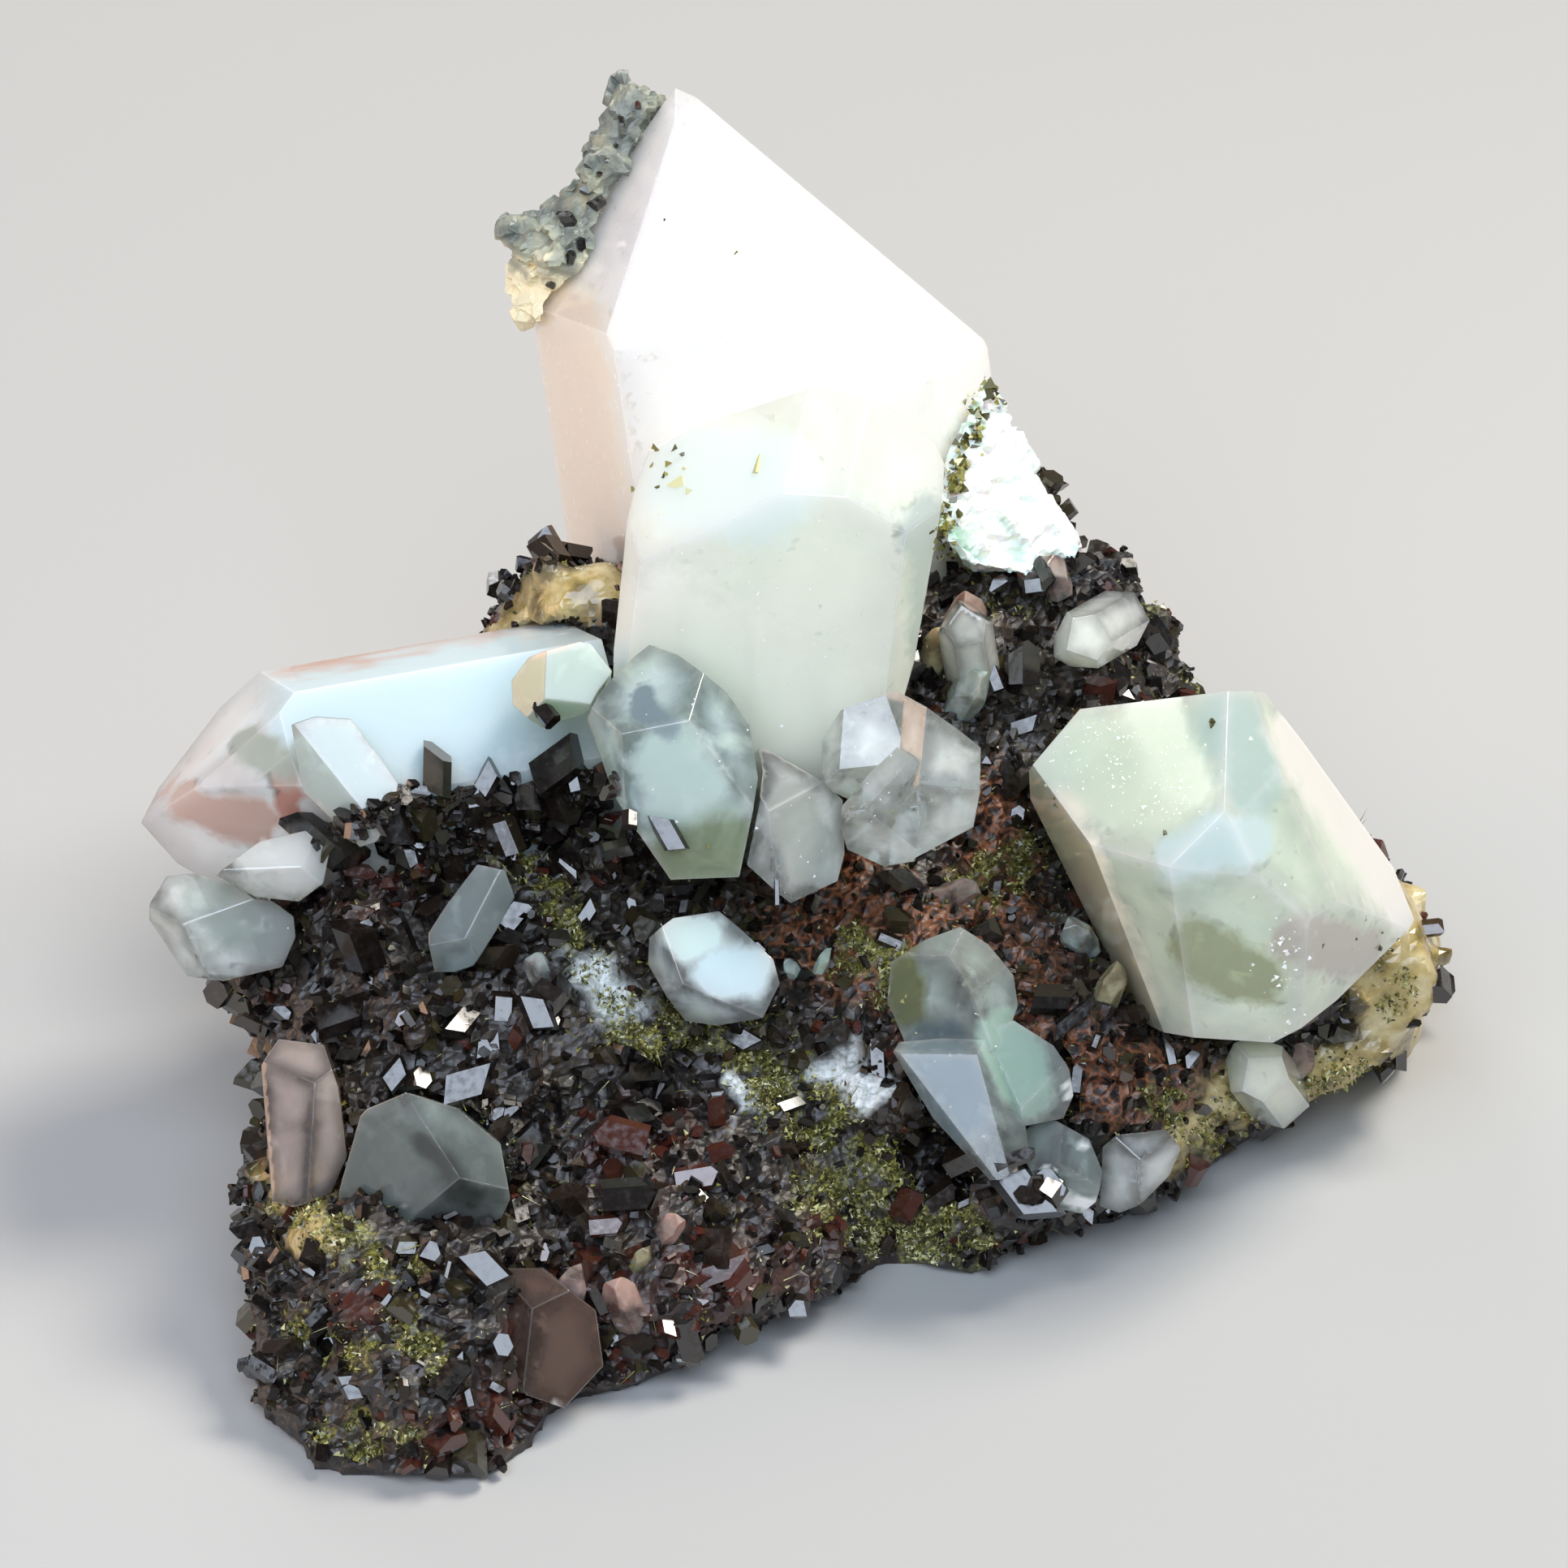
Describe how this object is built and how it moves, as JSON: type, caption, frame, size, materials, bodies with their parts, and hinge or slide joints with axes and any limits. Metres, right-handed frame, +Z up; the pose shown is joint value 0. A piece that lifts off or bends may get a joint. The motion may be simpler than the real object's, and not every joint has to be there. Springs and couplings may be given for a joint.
{
  "type": "epidote with quartz",
  "caption": "Mineral specimen: milky and clear six-sided quartz crystals grown in a wedge of dark epidote rock with a flat base.",
  "frame": {"origin": "on the floor under the middle of the specimen's bounding box", "axes": "+Z up, +X to the right as seen from the front, -Y towards the front, which shows the crystals"},
  "size_m": [0.0757, 0.0752, 0.0529],
  "materials": {
    "epidote_rock": "glossy dark crystals",
    "milky_quartz": "translucent, polished faces",
    "pale_green_quartz": "translucent, polished faces",
    "blue_green_quartz": "clear, polished faces",
    "clear_quartz": "clear, polished faces",
    "white_quartz": "rough, sugary"
  },
  "bodies": {
    "root": {"epidote_matrix": "epidote_rock", "tip_epidote": "epidote_rock", "tall_quartz": "milky_quartz", "left_quartz": "milky_quartz", "left_edge_quartz": "milky_quartz", "low_quartz": "milky_quartz", "right_edge_quartz": "milky_quartz", "back_left_quartz": "milky_quartz", "central_quartz": "pale_green_quartz", "right_quartz": "pale_green_quartz", "pale_hexagon_quartz": "pale_green_quartz", "back_low_quartz": "pale_green_quartz", "blue_green_quartz": "blue_green_quartz", "front_hexagon_quartz": "blue_green_quartz", "front_grey_quartz": "blue_green_quartz", "cluster_quartz": "blue_green_quartz", "shaded_quartz": "blue_green_quartz", "foot_quartz_left": "clear_quartz", "foot_quartz_right": "clear_quartz", "left_small_quartz": "clear_quartz", "left_lens_quartz": "clear_quartz", "left_lower_quartz": "clear_quartz", "edge_quartz": "clear_quartz", "shoulder_quartz": "clear_quartz", "ridge_quartz": "clear_quartz", "back_right_quartz": "clear_quartz", "white_massive_quartz": "white_quartz"}
  },
  "joints": []
}
